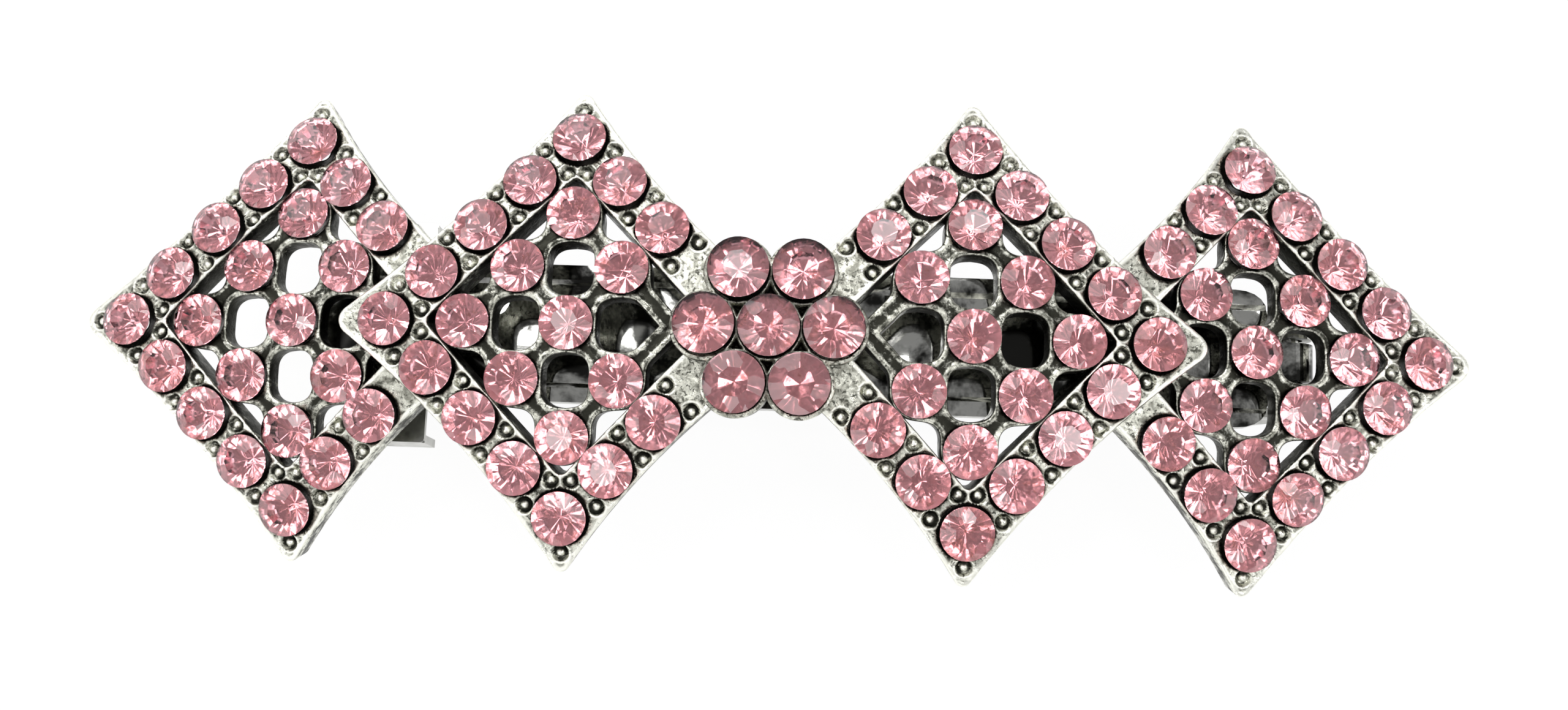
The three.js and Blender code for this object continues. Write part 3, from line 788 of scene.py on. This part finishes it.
def addPeg(name, x):
    headLow, bossLow = pegLevels(x)
    bend = np.radians(np.linspace(15, 90, 6))
    profile = [(peg["headRadius"] * math.sin(a), headLow + peg["headHeight"] * (1 - math.cos(a)))
               for a in bend]
    profile += [(peg["neckRadius"], headLow + peg["headHeight"]), (peg["neckRadius"], bossLow)]
    for a in np.radians([0, 30, 60, 90]):
        profile.append((peg["bossRadius"] - peg["bossEdge"] * (1 - math.sin(a)),
                        bossLow + peg["bossEdge"] * (1 - math.cos(a))))
    profile.append((peg["bossRadius"], bossLow + peg["bossHeight"]))
    profile = np.array(profile)
    turn = np.arange(peg["around"]) * 2 * math.pi / peg["around"]
    radius = profile[:, :1] - np.abs(random.normal(0, peg["dent"], (len(profile), len(turn))))
    points = np.stack([x + radius * np.cos(turn), radius * np.sin(turn), profile[:, 1:] + 0 * turn], axis=2)
    number = np.arange(radius.size).reshape(radius.shape)
    faces = [number[0][::-1].tolist()] + sweep(number).tolist() + [number[-1].tolist()]
    piece = makePiece(name, points.reshape(-1, 3), faces, [silverCast])
    paint(piece, "patinaAndShade", np.full(radius.size, 0.15))
    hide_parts("casting")
    return piece


pegX = float(bendFront(np.array([[innerCentre + ringHalf[0], 0.0, 0.0]]))[0, 0])
addPeg("peg_left", -pegX)
addPeg("peg_right", pegX)
print("casting ready")


# The stones

def stoneShape(diameter):
    # Rings of one faceted stone, each facet a plane. A main crown facet falls by slope times
    # (r cos d - flat), d being the angle from its middle. Two straight lines from where a pair of them
    # meets to the girdle cut off a steeper corner facet. The point has twice as many facets, all
    # through one tip: z = tip + depth r cos d / (R cos(half a facet)).
    radius = diameter / 2
    step = 2 * math.pi / stone["sides"]
    angle = np.arange(stone["sides"] * stone["perSide"]) * step / stone["perSide"]
    turn = (angle + step / 2) % step - step / 2
    pointTurn = (angle + step / 4) % (step / 2) - step / 4
    low = stone["girdleLift"]
    high = low + stone["girdleHeight"]
    top = high + stone["crownHeight"]
    tip = low - stone["pavilionDepth"]
    flat = radius * stone["tableShare"] * math.cos(step / 2)
    slope = (top - high) / (radius - flat)
    corner = radius * stone["cornerShare"] * np.array([math.cos(step / 2), math.sin(step / 2)])
    foot = np.array([radius * 0.985, 0.0])
    line = corner - foot
    away = np.abs(turn)
    cutRadius = (foot[0] * line[1]) / (np.cos(away) * line[1] - np.sin(away) * line[0])
    cutHeight = top - slope * (cutRadius * np.cos(turn) - flat)
    ringHeight = np.where(away < 1e-6, top - slope * (radius - flat), high)
    circle = np.stack([np.cos(angle), np.sin(angle)], axis=1)
    rings = [np.column_stack([circle * (flat / np.cos(turn))[:, None], np.full(len(angle), top)]),
             np.column_stack([circle * cutRadius[:, None], cutHeight]),
             np.column_stack([circle * radius, ringHeight]),
             np.column_stack([circle * radius, tip + (low - tip) * np.cos(pointTurn)])]
    points = np.vstack(rings + [[0, 0, tip]])
    number = np.arange(len(rings) * len(angle)).reshape(len(rings), -1)
    quads = sweep(number)[:, ::-1]
    last = number[-1]
    point = np.stack([last, np.full(len(last), len(points) - 1), np.roll(last, -1)], axis=1)[:, ::-1]
    faces = [number[0].tolist()] + quads.tolist() + point.tolist()
    slots = np.array([0] * (1 + len(quads)) + [1] * len(point), dtype=np.int32)
    return points, faces, slots


def seatFrame(flat):
    # place, and the directions along, across and out of the bent front there
    spots = bendFront(np.array([flat, flat + [0.01, 0, 0], flat + [0, 0, 0.01]]))
    up = (spots[2] - spots[0]) / np.linalg.norm(spots[2] - spots[0])
    along = (spots[1] - spots[0]) / np.linalg.norm(spots[1] - spots[0])
    return spots[0], np.column_stack([along, np.cross(up, along), up])


stoneNodes = {name: (Vector(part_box(name)[0]) + Vector(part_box(name)[1])) / 2
              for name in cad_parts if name.startswith("stone")}


def addStone(name, shape, flat):
    points, faces, slots = shape
    place, axes = seatFrame(flat)
    spin = Matrix.Rotation(random.uniform(0, 2 * math.pi), 3, "Z")
    lean = Matrix.Rotation(math.radians(random.normal(0, stone["tilt"])), 3, "X")
    turned = points @ np.array((lean @ spin).to_3x3()).T
    piece = makePiece(name, place + turned @ axes.T, faces, [pinkGlass, stoneFoil], shade=False, slots=slots)
    for node, centre in stoneNodes.items():
        if np.linalg.norm(np.array(centre) / mm - place) < layout["smallStone"] / 2:
            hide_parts(node)
    return piece


smallShape = stoneShape(layout["smallStone"])
flowerShape = stoneShape(layout["flowerStone"])
for diamond in diamonds:
    for kind, seats in (("frame", frameSeats(diamond)), ("lattice", latticeSeats(diamond))):
        for k, seat in enumerate(seats):
            addStone(f"stone_{diamond['name']}_{kind}_{k + 1}", smallShape, seat)
for k, seat in enumerate(flowerSeats()):
    addStone(f"stone_flower_{k + 1}_set", flowerShape, seat)
print("stones ready")


# The clasp

clasp = {
    "nodes": ("base_plate", "hinge_pin", "leaf_spring", "clasp_arm", "catch_plate",
              "catch_lever_front", "catch_lever_back"),
    "edge": 0.09,            # stamped edges are this round
    "sharpest": 40.0,        # degrees of turn above which an edge is rounded
    "merge": 0.002,
}
for name in clasp["nodes"]:
    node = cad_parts[name]
    node.data.materials.clear()
    # the base plate takes the copy painted near black with dark reflection, the other parts the lighter
    # nickel
    node.data.materials.append(plates["paintedShadePlate" if name == "base_plate" else "nickelPlate"])
    weld = node.modifiers.new("weld", "WELD")
    weld.merge_threshold = clasp["merge"] * mm
    bevel = node.modifiers.new("edge", "BEVEL")
    bevel.width = clasp["edge"] * mm
    bevel.segments = 2
    bevel.limit_method = "ANGLE"
    bevel.angle_limit = math.radians(clasp["sharpest"])
    bevel.harden_normals = False
print("clasp ready")


# Floor, light and camera

studio = {
    "floor": (0.90, 0.90, 0.89),
    "floorGrain": (0.88, 0.88, 0.875),
    "floorSize": 3.0,
    "floorDrop": 0.05,
    "floorGlow": 0.30,
    "floorShade": 0.10,      # how much of the floor's own shading the camera sees
    "zenith": 0.30,
    "shoulder": 0.62,
    "horizon": 0.35,
    "lights": {              # place, size and radiant power
        "keySoftbox": ((-0.22, 0.38, 0.42), (0.55, 0.35), 1.5),
        "fillSoftbox": ((0.50, -0.10, 0.38), (0.35, 0.35), 0.7),
        "stripLight": ((-0.10, -0.50, 0.30), (0.60, 0.10), 0.6),
        "overheadSoftbox": ((-0.10, 0.15, 0.55), (0.22, 0.08), 0.34),
        "sideSoftbox": ((0.17, -0.05, 0.50), (0.07, 0.14), 0.25),
        "backSoftbox": ((0.10, 0.30, 0.50), (0.10, 0.10), 0.22),
        "frontSoftbox": ((-0.16, -0.14, 0.50), (0.12, 0.06), 0.18),
        "leftSoftbox": ((-0.48, -0.16, 0.28), (0.30, 0.20), 0.5),
    },
}


def addFloor():
    # A light table: the camera sees it near white, the object sees its plain grey-white top, and
    # from below it lets the view through.
    half = studio["floorSize"] / 2
    drop = -studio["floorDrop"] * mm
    mesh = bpy.data.meshes.new("floor")
    corners = [(-half, -half, drop), (half, -half, drop), (half, half, drop), (-half, half, drop)]
    mesh.from_pydata(corners, [], [(0, 1, 2, 3)])
    material, tree, shader, place = newMaterial("paleFloor")
    grain = useMottle(tree, place, 40.0, 0.5, 0.2)
    pale = mixColour(tree, grain.outputs["Mask"], studio["floor"], studio["floorGrain"])
    link(tree, pale, shader.inputs["Base Color"])
    shader.inputs["Roughness"].default_value = 0.8
    shader.inputs["Emission Color"].default_value = (1, 1, 1, 1)
    shader.inputs["Emission Strength"].default_value = studio["floorGlow"]
    glow = addNode(tree, "ShaderNodeEmission", {"Strength": 1.0})
    path = addNode(tree, "ShaderNodeLightPath")
    share = addNode(tree, "ShaderNodeMath", {1: 1.0 - studio["floorShade"]}, operation="MULTIPLY")
    link(tree, path.outputs["Is Camera Ray"], share.inputs[0])
    seen = addNode(tree, "ShaderNodeMixShader")
    link(tree, share.outputs[0], seen.inputs[0])
    link(tree, shader.outputs[0], seen.inputs[1])
    link(tree, glow.outputs[0], seen.inputs[2])
    facing = addNode(tree, "ShaderNodeNewGeometry")
    clear = addNode(tree, "ShaderNodeBsdfTransparent")
    ends = addNode(tree, "ShaderNodeMixShader")
    link(tree, facing.outputs["Backfacing"], ends.inputs[0])
    link(tree, seen.outputs[0], ends.inputs[1])
    link(tree, clear.outputs[0], ends.inputs[2])
    link(tree, ends.outputs[0], tree.nodes["Material Output"].inputs["Surface"])
    mesh.materials.append(material)
    floor = bpy.data.objects.new("floor", mesh)
    bpy.context.collection.objects.link(floor)


def addLight(name, place, size, power, target=(0, 0, 0.01)):
    lamp = bpy.data.lights.new(name, "AREA")
    lamp.shape = "RECTANGLE"
    lamp.size, lamp.size_y = size
    lamp.energy = power
    light = bpy.data.objects.new(name, lamp)
    light.location = place
    light.rotation_euler = (Vector(target) - Vector(place)).to_track_quat("-Z", "Y").to_euler()
    bpy.context.collection.objects.link(light)


def addWorld():
    # a dome that is dark overhead, brightest at the shoulder, and plain white where the camera sees it
    world = bpy.data.worlds.new("studio")
    bpy.context.scene.world = world
    world.use_nodes = True
    tree = world.node_tree
    background = tree.nodes["Background"]
    place = addNode(tree, "ShaderNodeTexCoord")
    split = addNode(tree, "ShaderNodeSeparateXYZ")
    link(tree, place.outputs["Generated"], split.inputs[0])
    rise = ramp(tree, split.outputs[2], 0.05, 0.55, studio["horizon"], studio["shoulder"])
    fall = ramp(tree, split.outputs[2], 0.80, 0.97, 1.0, studio["zenith"] / studio["shoulder"])
    dome = addNode(tree, "ShaderNodeMath", operation="MULTIPLY")
    link(tree, rise, dome.inputs[0])
    link(tree, fall, dome.inputs[1])
    path = addNode(tree, "ShaderNodeLightPath")
    seen = addNode(tree, "ShaderNodeMix", {3: 1.0}, data_type="FLOAT")
    link(tree, path.outputs["Is Camera Ray"], seen.inputs[0])
    link(tree, dome.outputs[0], seen.inputs[2])
    link(tree, seen.outputs[0], background.inputs["Strength"])
    background.inputs["Color"].default_value = (1, 1, 1, 1)


addFloor()
addWorld()
for name, (place, size, power) in studio["lights"].items():
    addLight(name, place, size, power)
bpy.context.scene.view_settings.view_transform = "Standard"

view = {
    "distance": 111.4,      # to the crown of the front
    "tilt": (-0.156, -0.030, -0.034),   # about X, Y and Z in turn
    "lens": 44.1,
    "shift": (0.0095, -0.0172),
}


def addCamera():
    tiltX, tiltY, tiltZ = view["tilt"]
    turn = Matrix.Rotation(tiltZ, 3, "Z") @ Matrix.Rotation(tiltY, 3, "Y") @ Matrix.Rotation(tiltX, 3, "X")
    back = turn.transposed()
    lens = bpy.data.cameras.new("camera")
    lens.lens = view["lens"]
    lens.sensor_width = 36.0
    lens.shift_x, lens.shift_y = view["shift"]
    lens.clip_start = 0.005
    lens.clip_end = 20.0
    camera = bpy.data.objects.new("camera", lens)
    place = back @ Vector((0, 0, view["distance"])) + Vector((0, 0, crown))
    camera.matrix_world = Matrix.Translation(place * mm) @ back.to_4x4()
    bpy.context.collection.objects.link(camera)
    bpy.context.scene.camera = camera


addCamera()
print("scene ready")
